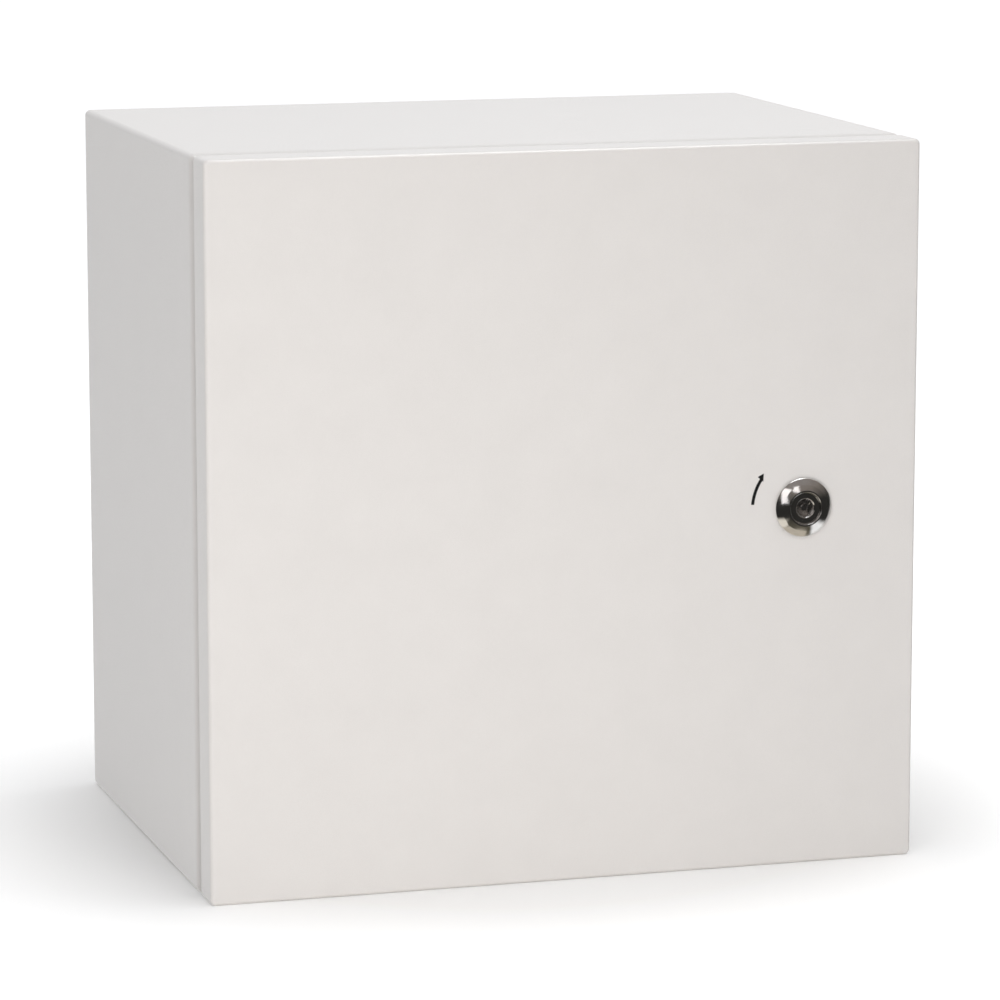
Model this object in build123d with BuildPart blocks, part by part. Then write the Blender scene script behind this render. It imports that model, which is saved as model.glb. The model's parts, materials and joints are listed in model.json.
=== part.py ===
from build123d import *
from math import sqrt
import os

os.makedirs("parts", exist_ok=True)

# Wall-mounted steel cabinet with a flush door on concealed hinges and a quarter-turn lock.
# All sizes are in millimetres. X runs to the right, Y from the door to the wall, Z up.
# The origin is on the floor, under the middle of the cabinet with its lock.

# Cabinet
width = 400.0
height = 400.0
depth = 300.0  # from the door's face to the wall
sheet = 1.5  # steel of the body and the door
corner_radius = 3.2  # corners of the outline, seen from the front

# Body folds
body_front_fold = 2.75
body_rear_fold = 2.75
rear_flange = 15.0  # turned in behind the rear panel
gutter_width = 34.0  # from the cabinet's side to the outer face of the rim
rim_corner_radius = 8.0
rim_foot = 12.0  # welded to the back of the gutter
panel_fit = 0.2  # round the rear panel, inside the folds

# Door pan
door_edge_depth = 22.5
door_fold = 2.0
door_gap = 5.5  # open line between the door's edge and the body

# Door seal
seal_width = 12.0
seal_thickness = 8.0
seal_clearance = 0.3
seal_corner_radius = 14.0

# Wall fixing
wall_hole_inset = 25.0  # from the cabinet's sides, its top and its bottom
wall_hole_radius = 4.5

# Mounting plate on its studs
plate_inset = 40.0  # from the cabinet's sides, its top and its bottom
plate_thickness = 2.0
plate_edge = 12.0
plate_fold = 3.0
plate_corner_notch = 16.0
plate_stud_inset = 20.0  # from the plate's edges
plate_standoff = 15.0
spacer_across_flats = 13.0

# M8 stud and nut, used for the plate and for earthing
stud_radius = 4.0
stud_hole_radius = 4.5
stud_end = 3.0  # left beyond the nut
nut_across_flats = 13.0
nut_thickness = 6.5
thread_gap = 0.05
earth_free_length = 9.0
body_earth_inset = 22.0  # above the cabinet's floor
body_earth_side = 90.0  # from the cabinet's left side
door_earth_from_rail = 56.0  # to the right of the left rail's middle
door_earth_inset = 62.0
door_earth_free_length = 2.0

# Gland plate over the cut-out in the floor
gland_opening_width = 200.0
gland_opening_depth = 100.0
gland_opening_radius = 6.0
gland_margin = 21.0
gland_plate_thickness = 2.0
gland_seal_lip = 2.0  # from the cut-out's edge to the seal
gland_seal_width = 8.0
gland_seal_thickness = 3.0
gland_stud_margin = 15.5  # from the cut-out's edge to the studs
gland_stud_radius = 2.5
gland_hole_radius = 3.0
gland_nut_across_flats = 8.0
gland_nut_thickness = 5.0
gland_stud_end = 2.0

# Concealed hinges
hinge_pin_inset = 8.0  # from the door's left side
hinge_pin_depth = 10.0  # behind the door's face
hinge_end_inset = 62.0  # from the top and the bottom to the middle of a hinge
pin_radius = 2.5
pin_running_gap = 0.05
pin_head_radius = 4.0
pin_head_thickness = 1.5
pin_tail = 3.0
knuckle_length = 24.0
knuckle_gap = 0.2
bracket_thickness = 2.5
bracket_height = 40.0
bracket_reach = 15.4  # from the pin to the near side of the bracket's leg
bracket_fold = 2.9
bracket_foot_back = 2.5  # the foot runs this far past the pin
bracket_screw_spacing = 24.0
bracket_screw_from_pin = 6.5
bracket_screw_radius = 2.5
bracket_screw_hole_radius = 2.75
bracket_screw_across_flats = 8.0
bracket_screw_head = 3.0
leaf_thickness = 2.0
leaf_height = 44.0
leaf_left = 4.5
leaf_right = 14.0
ear_thickness = 2.5

# Perforated rails inside the door
rail_inset = 104.0  # from the door's side to the middle of a rail
rail_height = 14.0
rail_web = 18.0
rail_foot = 9.0
rail_sheet = 1.25
rail_fold = 2.0
rail_end_gap = 10.0  # from the seal to the rail's end
rail_pitch = 25.0
rail_slot_width = 4.6
rail_slot_length = 12.0

# Quarter-turn lock: radii from its axis, and how far each edge stands out of the door
lock_inset = 66.0  # from the door's right side
flange_radius = 16.4
lock_seal_radius = 15.9
lock_seal_thickness = 0.4
flange_rim = 1.7
shoulder_radius = 12.9
shoulder_out = 4.0
lip_radius = 9.2
lip_width = 0.7
lock_stand_out = 5.4
barrel_radius = 11.0
barrel_flats = 20.0
barrel_hole_gap = 0.25
lock_nut_across_flats = 27.0
lock_nut_thickness = 6.0
head_radius = 8.6
head_gap = 0.3
head_below_lip = 1.2
head_length = 10.0
head_play = 0.1
spindle_radius = 6.0
spindle_gap = 0.05
socket_radius = 5.0
socket_chamfer = 0.5
socket_depth = 9.0
key_pin_radius = 1.8
key_pin_below_lip = 3.6
key_bit_width = 1.6
key_bit_height = 3.0
cam_gap = 0.5
cam_thickness = 3.0
cam_hub_radius = 10.0
cam_width = 16.0
cam_overlap = 14.0  # how far the cam reaches behind the rim
cam_ramp = 1.0
cam_square = 8.0
cam_washer_radius = 8.0
cam_washer_thickness = 1.6
cam_screw_radius = 2.5
cam_screw_length = 10.0
cam_screw_head_radius = 4.5
cam_screw_head = 3.2

# A flat across the inside of a fold leaves the sheet its full thickness there, if it is this share of
# the outer radius less the sheet
fold_flat = 2 - sqrt(2)

# Places that follow from the sizes above
door_face = (depth + lock_stand_out) / 2 - depth
middle = height / 2
gutter_depth = door_edge_depth + door_gap
gutter_back = gutter_depth + sheet
rim_back = gutter_back + sheet
rim_tip_depth = sheet + seal_thickness + seal_clearance
rim_outer_width = width - 2 * gutter_width
rim_outer_height = height - 2 * gutter_width
rim_inner_width = rim_outer_width - 2 * sheet
rim_inner_height = rim_outer_height - 2 * sheet
seal_middle_width = rim_outer_width - sheet
seal_middle_height = rim_outer_height - sheet
wall_hole_spacing_x = width - 2 * wall_hole_inset
wall_hole_spacing_z = height - 2 * wall_hole_inset
plate_width = width - 2 * plate_inset
plate_height = height - 2 * plate_inset
plate_stud_spacing_x = plate_width - 2 * plate_stud_inset
plate_stud_spacing_z = plate_height - 2 * plate_stud_inset
rail_offset = width / 2 - rail_inset
body_earth_x = -width / 2 + body_earth_side
door_earth_x = -rail_offset + door_earth_from_rail
panel_back_depth = depth - sheet
panel_front_depth = panel_back_depth - sheet
plate_back_depth = panel_front_depth - plate_standoff
plate_front_depth = plate_back_depth - plate_thickness
hinge_x = -width / 2 + hinge_pin_inset
hinge_heights = {"lower": hinge_end_inset, "upper": height - hinge_end_inset}
lock_x = width / 2 - lock_inset
cam_depth = rim_back + cam_gap
cam_reach = rim_inner_width / 2 + cam_overlap - lock_x
gland_middle = door_face + (gutter_depth + depth) / 2


def front_plane(behind_face, x=0.0, z=middle):
    """Plane parallel to the door, this far behind its face: a sketch on it reads as x and z."""
    return Plane(origin=(x, door_face + behind_face, z), x_dir=(1, 0, 0), z_dir=(0, -1, 0))


def hinge_plane(z):
    """Level plane with its origin on the hinge pin: a sketch on it reads as right and backwards."""
    return Plane(origin=(hinge_x, door_face + hinge_pin_depth, z))


# Body: roof, floor and sides from one folded strip, turned in at the front for the gutter and at the
# rear for the panel. Its hollow is made first
with BuildPart() as body_hollow:
    with BuildSketch(front_plane(gutter_back)):
        RectangleRounded(width - 2 * sheet, height - 2 * sheet, corner_radius - sheet)
    extrude(amount=-(panel_back_depth - gutter_back))
    chamfer(faces().sort_by(Axis.Y)[0].edges(), fold_flat * (body_front_fold - sheet))
    chamfer(faces().sort_by(Axis.Y)[-1].edges(), fold_flat * (body_rear_fold - sheet))

with BuildPart() as body_wrap:
    with BuildSketch(front_plane(gutter_depth)):
        RectangleRounded(width, height, corner_radius)
    extrude(amount=-(depth - gutter_depth))
    fillet(faces().sort_by(Axis.Y)[0].edges(), body_front_fold)
    fillet(faces().sort_by(Axis.Y)[-1].edges(), body_rear_fold)
    add(body_hollow.part, mode=Mode.SUBTRACT)
    with BuildSketch(front_plane(gutter_depth)):
        RectangleRounded(rim_outer_width, rim_outer_height, rim_corner_radius)
    extrude(amount=-sheet, mode=Mode.SUBTRACT)
    with BuildSketch(front_plane(depth)):
        Rectangle(width - 2 * rear_flange, height - 2 * rear_flange)
    extrude(amount=sheet, mode=Mode.SUBTRACT)
    with BuildSketch(Plane(origin=(0, gland_middle, 0))):
        RectangleRounded(gland_opening_width, gland_opening_depth, gland_opening_radius)
    extrude(amount=sheet, mode=Mode.SUBTRACT)
    for z in hinge_heights.values():
        with BuildSketch(front_plane(gutter_depth, hinge_x + bracket_screw_from_pin, z)):
            with GridLocations(0, bracket_screw_spacing, 1, 2):
                Circle(bracket_screw_hole_radius)
        extrude(amount=-sheet, mode=Mode.SUBTRACT)
body_wrap.part.label = "body_wrap"
export_step(body_wrap.part, "parts/body_wrap.step")

# Rim: an angle ring in the door opening. Its foot is welded behind the gutter, and its tip meets the seal
with BuildPart() as rim_frame:
    with BuildSketch(front_plane(rim_back)):
        RectangleRounded(rim_outer_width, rim_outer_height, rim_corner_radius)
    extrude(amount=rim_back - rim_tip_depth)
    with BuildSketch(front_plane(rim_back)):
        RectangleRounded(rim_outer_width + 2 * rim_foot, rim_outer_height + 2 * rim_foot, rim_corner_radius)
    extrude(amount=sheet)
    with BuildSketch(front_plane(rim_back)):
        RectangleRounded(rim_inner_width, rim_inner_height, rim_corner_radius - sheet)
    extrude(amount=rim_back - rim_tip_depth, mode=Mode.SUBTRACT)
    chamfer(faces().sort_by(Axis.Y)[-1].inner_wires()[0].edges(), fold_flat * sheet)
rim_frame.part.label = "rim_frame"
export_step(rim_frame.part, "parts/rim_frame.step")

# Rear panel: a flat plate inside the rear flange, with the wall holes
with BuildPart() as rear_panel:
    with BuildSketch(front_plane(panel_back_depth)):
        panel_inset = body_rear_fold + panel_fit
        RectangleRounded(width - 2 * panel_inset, height - 2 * panel_inset, corner_radius)
        with GridLocations(wall_hole_spacing_x, wall_hole_spacing_z, 2, 2):
            Circle(wall_hole_radius, mode=Mode.SUBTRACT)
    extrude(amount=sheet)
rear_panel.part.label = "rear_panel"
export_step(rear_panel.part, "parts/rear_panel.step")

# Mounting plate: its four edges are folded back, and the corners between them are left open
with BuildPart() as mounting_plate:
    with BuildSketch(front_plane(plate_front_depth)):
        Rectangle(plate_width, plate_height)
    extrude(amount=-plate_edge)
    fillet(faces().sort_by(Axis.Y)[0].edges(), plate_fold)
    offset(amount=-plate_thickness, openings=faces().sort_by(Axis.Y)[-1])
    with BuildSketch(front_plane(plate_front_depth)):
        with GridLocations(plate_width, plate_height, 2, 2):
            Rectangle(2 * plate_corner_notch, 2 * plate_corner_notch)
    extrude(amount=-plate_edge, mode=Mode.SUBTRACT)
    with BuildSketch(front_plane(plate_front_depth)):
        with GridLocations(plate_stud_spacing_x, plate_stud_spacing_z, 2, 2):
            Circle(stud_hole_radius)
    extrude(amount=-plate_thickness, mode=Mode.SUBTRACT)
mounting_plate.part.label = "mounting_plate"
export_step(mounting_plate.part, "parts/mounting_plate.step")

# Four studs on the rear panel, each with a spacer behind the plate and a nut in front of it
plate_stud_depth = plate_front_depth - nut_thickness - stud_end

with BuildPart() as mounting_plate_studs:
    with BuildSketch(front_plane(panel_front_depth)):
        with GridLocations(plate_stud_spacing_x, plate_stud_spacing_z, 2, 2):
            Circle(stud_radius)
    extrude(amount=panel_front_depth - plate_stud_depth)
mounting_plate_studs.part.label = "mounting_plate_studs"
export_step(mounting_plate_studs.part, "parts/mounting_plate_studs.step")

with BuildPart() as mounting_plate_spacers:
    with BuildSketch(front_plane(panel_front_depth)):
        with GridLocations(plate_stud_spacing_x, plate_stud_spacing_z, 2, 2):
            RegularPolygon(spacer_across_flats / 2, 6, major_radius=False)
            Circle(stud_radius + thread_gap, mode=Mode.SUBTRACT)
    extrude(amount=plate_standoff)
mounting_plate_spacers.part.label = "mounting_plate_spacers"
export_step(mounting_plate_spacers.part, "parts/mounting_plate_spacers.step")

with BuildPart() as mounting_plate_nuts:
    with BuildSketch(front_plane(plate_front_depth)):
        with GridLocations(plate_stud_spacing_x, plate_stud_spacing_z, 2, 2):
            RegularPolygon(nut_across_flats / 2, 6, major_radius=False)
            Circle(stud_radius + thread_gap, mode=Mode.SUBTRACT)
    extrude(amount=nut_thickness)
mounting_plate_nuts.part.label = "mounting_plate_nuts"
export_step(mounting_plate_nuts.part, "parts/mounting_plate_nuts.step")

# Gland plate: lies on a seal round the cut-out in the floor, held down on studs from inside
gland_stud_spacing_x = gland_opening_width + 2 * gland_stud_margin
gland_stud_spacing_y = gland_opening_depth + 2 * gland_stud_margin
gland_seal_inner = 2 * gland_seal_lip
gland_seal_outer = 2 * (gland_seal_lip + gland_seal_width)
gland_plate_bottom = sheet + gland_seal_thickness
gland_plate_top = gland_plate_bottom + gland_plate_thickness
gland_stud_top = gland_plate_top + gland_nut_thickness + gland_stud_end

with BuildPart() as gland_plate_seal:
    with BuildSketch(Plane(origin=(0, gland_middle, sheet))):
        Rectangle(gland_opening_width + gland_seal_outer, gland_opening_depth + gland_seal_outer)
        Rectangle(
            gland_opening_width + gland_seal_inner,
            gland_opening_depth + gland_seal_inner,
            mode=Mode.SUBTRACT,
        )
    extrude(amount=gland_seal_thickness)
gland_plate_seal.part.label = "gland_plate_seal"
export_step(gland_plate_seal.part, "parts/gland_plate_seal.step")

with BuildPart() as gland_plate:
    with BuildSketch(Plane(origin=(0, gland_middle, gland_plate_bottom))):
        Rectangle(gland_opening_width + 2 * gland_margin, gland_opening_depth + 2 * gland_margin)
        chamfer(vertices(), gland_opening_radius)
        with GridLocations(gland_stud_spacing_x, gland_stud_spacing_y, 2, 2):
            Circle(gland_hole_radius, mode=Mode.SUBTRACT)
    extrude(amount=gland_plate_thickness)
gland_plate.part.label = "gland_plate"
export_step(gland_plate.part, "parts/gland_plate.step")

with BuildPart() as gland_plate_studs:
    with BuildSketch(Plane(origin=(0, gland_middle, sheet))):
        with GridLocations(gland_stud_spacing_x, gland_stud_spacing_y, 2, 2):
            Circle(gland_stud_radius)
    extrude(amount=gland_stud_top - sheet)
gland_plate_studs.part.label = "gland_plate_studs"
export_step(gland_plate_studs.part, "parts/gland_plate_studs.step")

with BuildPart() as gland_plate_nuts:
    with BuildSketch(Plane(origin=(0, gland_middle, gland_plate_top))):
        with GridLocations(gland_stud_spacing_x, gland_stud_spacing_y, 2, 2):
            RegularPolygon(gland_nut_across_flats / 2, 6, major_radius=False)
            Circle(gland_stud_radius + thread_gap, mode=Mode.SUBTRACT)
    extrude(amount=gland_nut_thickness)
gland_plate_nuts.part.label = "gland_plate_nuts"
export_step(gland_plate_nuts.part, "parts/gland_plate_nuts.step")

# Earth points: a welded stud with a nut, and some thread left free for a wire's lug
earth_points = {
    "body": (front_plane(panel_front_depth, body_earth_x, body_earth_inset), 1, earth_free_length),
    "door": (front_plane(sheet, door_earth_x, door_earth_inset), -1, door_earth_free_length),
}
for side, (plane, way, free_length) in earth_points.items():
    with BuildPart() as earth_stud:
        with BuildSketch(plane):
            Circle(stud_radius)
        extrude(amount=way * (nut_thickness + free_length))
    earth_stud.part.label = f"{side}_earth_stud"
    export_step(earth_stud.part, f"parts/{side}_earth_stud.step")

    with BuildPart() as earth_nut:
        with BuildSketch(plane):
            RegularPolygon(nut_across_flats / 2, 6, major_radius=False)
            Circle(stud_radius + thread_gap, mode=Mode.SUBTRACT)
        extrude(amount=way * nut_thickness)
    earth_nut.part.label = f"{side}_earth_nut"
    export_step(earth_nut.part, f"parts/{side}_earth_nut.step")

# Door: a pan whose folded edges run back over the gutter, with the lock's flat-sided hole
with BuildPart() as door_hollow:
    with BuildSketch(front_plane(sheet)):
        RectangleRounded(width - 2 * sheet, height - 2 * sheet, corner_radius - sheet)
    extrude(amount=-(door_edge_depth - sheet))
    chamfer(faces().sort_by(Axis.Y)[0].edges(), fold_flat * (door_fold - sheet))

with BuildPart() as door_panel:
    with BuildSketch(front_plane(0)):
        RectangleRounded(width, height, corner_radius)
    extrude(amount=-door_edge_depth)
    fillet(faces().sort_by(Axis.Y)[0].edges(), door_fold)
    add(door_hollow.part, mode=Mode.SUBTRACT)
    with BuildSketch(front_plane(0, lock_x)):
        Circle(barrel_radius + barrel_hole_gap)
        Rectangle(barrel_flats + 2 * barrel_hole_gap, 3 * barrel_radius, mode=Mode.INTERSECT)
    extrude(amount=-sheet, mode=Mode.SUBTRACT)
door_panel.part.label = "door_panel"
export_step(door_panel.part, "parts/door_panel.step")

# Door seal: a foamed ring that meets the tip of the body's rim
with BuildPart() as door_seal:
    with BuildSketch(front_plane(sheet)):
        RectangleRounded(seal_middle_width + seal_width, seal_middle_height + seal_width, seal_corner_radius)
        RectangleRounded(
            seal_middle_width - seal_width,
            seal_middle_height - seal_width,
            seal_corner_radius - seal_width,
            mode=Mode.SUBTRACT,
        )
    extrude(amount=-seal_thickness)
door_seal.part.label = "door_seal"
export_step(door_seal.part, "parts/door_seal.step")

# Perforated rails: hat sections that stand on the door's inside, one each side of the middle
rail_length = seal_middle_height - seal_width - 2 * rail_end_gap
rail_bottom = middle - rail_length / 2
rail_slot_count = int(rail_length // rail_pitch)
door_inside = door_face + sheet

for side, rail_x in {"left": -rail_offset, "right": rail_offset}.items():
    with BuildPart() as door_rail:
        with BuildSketch(Plane(origin=(rail_x, door_inside, rail_bottom))):
            above = (Align.CENTER, Align.MIN)
            Rectangle(rail_web + 2 * rail_foot, rail_sheet, align=above)
            Rectangle(rail_web, rail_height, align=above)
            Rectangle(rail_web - 2 * rail_sheet, rail_height - rail_sheet, align=above, mode=Mode.SUBTRACT)
            fillet(vertices().group_by(Axis.Y)[-1], rail_fold)
        extrude(amount=rail_length)
        with BuildSketch(front_plane(sheet + rail_height, rail_x)):
            with GridLocations(0, rail_pitch, 1, rail_slot_count):
                Rectangle(rail_slot_width, rail_slot_length)
        extrude(amount=rail_sheet, mode=Mode.SUBTRACT)
    door_rail.part.label = f"door_rail_{side}"
    export_step(door_rail.part, f"parts/door_rail_{side}.step")

# Concealed hinges: a goose-neck bracket on the gutter carries a knuckle inside the door's edge, and a
# leaf on the door holds the pin in an ear above and an ear below that knuckle
gutter_from_pin = gutter_depth - hinge_pin_depth
face_from_pin = hinge_pin_depth - sheet
knuckle_radius = pin_radius + bracket_thickness
bracket_far = bracket_reach + bracket_thickness

for end, z in hinge_heights.items():
    with BuildPart() as hinge_bracket:
        with BuildSketch(hinge_plane(z - knuckle_length / 2)):
            Circle(knuckle_radius)
            with Locations((0, -knuckle_radius)):
                Rectangle(bracket_far, bracket_thickness, align=(Align.MIN, Align.MIN))
            with Locations((bracket_far, -knuckle_radius)):
                Rectangle(bracket_thickness, gutter_from_pin + knuckle_radius, align=(Align.MAX, Align.MIN))
            fillet(vertices().sort_by(Axis.X)[-2:].sort_by(Axis.Y)[0], bracket_fold)
            Circle(pin_radius + pin_running_gap, mode=Mode.SUBTRACT)
        extrude(amount=knuckle_length)
        with BuildSketch(hinge_plane(z - bracket_height / 2)):
            with Locations((bracket_far, gutter_from_pin)):
                Rectangle(bracket_thickness, gutter_from_pin, align=(Align.MAX, Align.MAX))
                Rectangle(bracket_far + bracket_foot_back, bracket_thickness, align=(Align.MAX, Align.MAX))
            fillet(vertices().sort_by(Axis.X)[-2:].sort_by(Axis.Y)[-1], bracket_fold)
        extrude(amount=bracket_height)
        with BuildSketch(front_plane(gutter_depth, hinge_x + bracket_screw_from_pin, z)):
            with GridLocations(0, bracket_screw_spacing, 1, 2):
                Circle(bracket_screw_radius + thread_gap)
        extrude(amount=bracket_thickness, mode=Mode.SUBTRACT)
    hinge_bracket.part.label = f"hinge_bracket_{end}"
    export_step(hinge_bracket.part, f"parts/hinge_bracket_{end}.step")

    ear_start = knuckle_length / 2 + knuckle_gap
    with BuildPart() as hinge_leaf:
        with BuildSketch(hinge_plane(z - leaf_height / 2)):
            with Locations((-leaf_left, -face_from_pin)):
                Rectangle(leaf_left + leaf_right, leaf_thickness, align=(Align.MIN, Align.MIN))
        extrude(amount=leaf_height)
        for ear_bottom in (z + ear_start, z - ear_start - ear_thickness):
            with BuildSketch(hinge_plane(ear_bottom)):
                Circle(leaf_left)
                with Locations((0, -face_from_pin)):
                    Rectangle(2 * leaf_left, face_from_pin, align=(Align.CENTER, Align.MIN))
                Circle(pin_radius + pin_running_gap, mode=Mode.SUBTRACT)
            extrude(amount=ear_thickness)
    hinge_leaf.part.label = f"hinge_leaf_{end}"
    export_step(hinge_leaf.part, f"parts/hinge_leaf_{end}.step")

    ear_top = z + ear_start + ear_thickness
    ear_bottom = z - ear_start - ear_thickness
    with BuildPart() as hinge_pin:
        with BuildSketch(hinge_plane(ear_bottom - pin_tail)):
            Circle(pin_radius)
        extrude(amount=ear_top - ear_bottom + pin_tail)
        with BuildSketch(hinge_plane(ear_top)):
            Circle(pin_head_radius)
        extrude(amount=pin_head_thickness)
    hinge_pin.part.label = f"hinge_pin_{end}"
    export_step(hinge_pin.part, f"parts/hinge_pin_{end}.step")

with BuildPart() as hinge_bracket_screws:
    for z in hinge_heights.values():
        screw_x = hinge_x + bracket_screw_from_pin
        with BuildSketch(front_plane(gutter_back, screw_x, z)):
            with GridLocations(0, bracket_screw_spacing, 1, 2):
                Circle(bracket_screw_radius)
        extrude(amount=sheet + bracket_thickness)
        with BuildSketch(front_plane(gutter_back, screw_x, z)):
            with GridLocations(0, bracket_screw_spacing, 1, 2):
                RegularPolygon(bracket_screw_across_flats / 2, 6, major_radius=False)
        extrude(amount=-bracket_screw_head)
hinge_bracket_screws.part.label = "hinge_bracket_screws"
export_step(hinge_bracket_screws.part, "parts/hinge_bracket_screws.step")

# Lock housing: turned ring with two conical steps and a lip, on a threaded barrel with two flats.
# The sketch is half of the section through the lock's axis, with its heights measured out of the door.
lock_section = Plane(origin=(lock_x, door_face, middle), x_dir=(1, 0, 0), z_dir=(0, 0, 1))
barrel_end = cam_depth - head_gap
head_top = lock_stand_out - head_below_lip
head_bottom = head_top - head_length
lock_axis = Axis((lock_x, door_face, middle), (0, 1, 0))

with BuildPart() as lock_housing:
    with BuildSketch(lock_section):
        with BuildLine():
            Polyline(
                (spindle_radius + spindle_gap, barrel_end),
                (barrel_radius, barrel_end),
                (barrel_radius, -lock_seal_thickness),
                (flange_radius, -lock_seal_thickness),
                (flange_radius, -flange_rim),
                (shoulder_radius, -shoulder_out),
                (lip_radius + lip_width, -lock_stand_out),
                (lip_radius, -lock_stand_out),
                (head_radius + head_gap, -lock_stand_out + lip_radius - head_radius - head_gap),
                (head_radius + head_gap, -head_bottom + head_play),
                (spindle_radius + spindle_gap, -head_bottom + head_play),
                close=True,
            )
        make_face()
    revolve(axis=lock_axis)
    with BuildSketch(front_plane(barrel_end, lock_x)):
        Circle(barrel_radius)
        Rectangle(barrel_flats, 3 * barrel_radius, mode=Mode.SUBTRACT)
    extrude(amount=barrel_end, mode=Mode.SUBTRACT)
lock_housing.part.label = "lock_housing"
export_step(lock_housing.part, "parts/lock_housing.step")

with BuildPart() as lock_seal:
    with BuildSketch(front_plane(0, lock_x)):
        Circle(lock_seal_radius)
        Circle(barrel_radius + thread_gap, mode=Mode.SUBTRACT)
    extrude(amount=lock_seal_thickness)
lock_seal.part.label = "lock_seal"
export_step(lock_seal.part, "parts/lock_seal.step")

with BuildPart() as lock_nut:
    with BuildSketch(front_plane(sheet, lock_x)):
        RegularPolygon(lock_nut_across_flats / 2, 6, major_radius=False)
        Circle(barrel_radius + thread_gap, mode=Mode.SUBTRACT)
    extrude(amount=-lock_nut_thickness)
lock_nut.part.label = "lock_nut"
export_step(lock_nut.part, "parts/lock_nut.step")

# Spindle: round head with the key socket, a stem, and a square end for the cam
cam_back = cam_depth + cam_thickness
with BuildPart() as lock_spindle:
    with BuildSketch(lock_section):
        with BuildLine():
            Polyline(
                (0, cam_depth),
                (spindle_radius, cam_depth),
                (spindle_radius, -head_bottom),
                (head_radius, -head_bottom),
                (head_radius, -head_top),
                (socket_radius + socket_chamfer, -head_top),
                (socket_radius, -head_top + socket_chamfer),
                (socket_radius, -head_top + socket_depth),
                (key_pin_radius, -head_top + socket_depth),
                (key_pin_radius, -lock_stand_out + key_pin_below_lip),
                (0, -lock_stand_out + key_pin_below_lip),
                close=True,
            )
        make_face()
    revolve(axis=lock_axis)
    with BuildSketch(front_plane(-head_top + socket_depth, lock_x)):
        Rectangle(2 * socket_radius + socket_chamfer, key_bit_width)
    extrude(amount=key_bit_height)
    with BuildSketch(front_plane(cam_depth, lock_x)):
        Circle(spindle_radius)
        Rectangle(cam_square, cam_square, mode=Mode.INTERSECT)
    extrude(amount=-cam_thickness)
    with BuildSketch(front_plane(cam_back, lock_x)):
        Circle(cam_screw_radius + thread_gap)
    extrude(amount=cam_screw_length - cam_washer_thickness, mode=Mode.SUBTRACT)
lock_spindle.part.label = "lock_spindle"
export_step(lock_spindle.part, "parts/lock_spindle.step")

# Cam: shown hanging down, with the door unlatched. A quarter turn takes it behind the rim
with BuildPart() as lock_cam:
    with BuildSketch(front_plane(cam_depth, lock_x)):
        Rectangle(cam_width, cam_reach, align=(Align.CENTER, Align.MAX))
        fillet(vertices().group_by(Axis.Y)[0], cam_width / 4)
        Circle(cam_hub_radius)
        Rectangle(cam_square + 2 * thread_gap, cam_square + 2 * thread_gap, mode=Mode.SUBTRACT)
    extrude(amount=-cam_thickness)
    tip_edge = edges().filter_by(Axis.X).sort_by(Axis.Z)[:2].sort_by(Axis.Y)[0]
    chamfer(tip_edge, cam_ramp)
lock_cam.part.label = "lock_cam"
export_step(lock_cam.part, "parts/lock_cam.step")

with BuildPart() as cam_washer:
    with BuildSketch(front_plane(cam_back, lock_x)):
        Circle(cam_washer_radius)
        Circle(cam_screw_radius + spindle_gap, mode=Mode.SUBTRACT)
    extrude(amount=-cam_washer_thickness)
cam_washer.part.label = "cam_washer"
export_step(cam_washer.part, "parts/cam_washer.step")

with BuildPart() as cam_screw:
    with BuildSketch(front_plane(cam_back + cam_washer_thickness, lock_x)):
        Circle(cam_screw_radius)
    extrude(amount=cam_screw_length)
    with BuildSketch(front_plane(cam_back + cam_washer_thickness, lock_x)):
        RegularPolygon(cam_screw_head_radius, 6)
    extrude(amount=-cam_screw_head)
cam_screw.part.label = "cam_screw"
export_step(cam_screw.part, "parts/cam_screw.step")
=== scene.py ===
# %% [markdown]
# # A wall-mounted steel cabinet
# The cabinet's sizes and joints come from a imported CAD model, the frame. This script dresses that frame: it
# gives every piece its finish, rebuilds the pieces whose edges catch the light, and sets the lights and the
# camera. All lengths are in metres. X runs to the right, Y from the door to the wall and Z up.

# %% Load the frame
import json
import math
from collections import namedtuple

import bmesh
import bpy
from mathutils import Matrix, Vector

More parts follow.
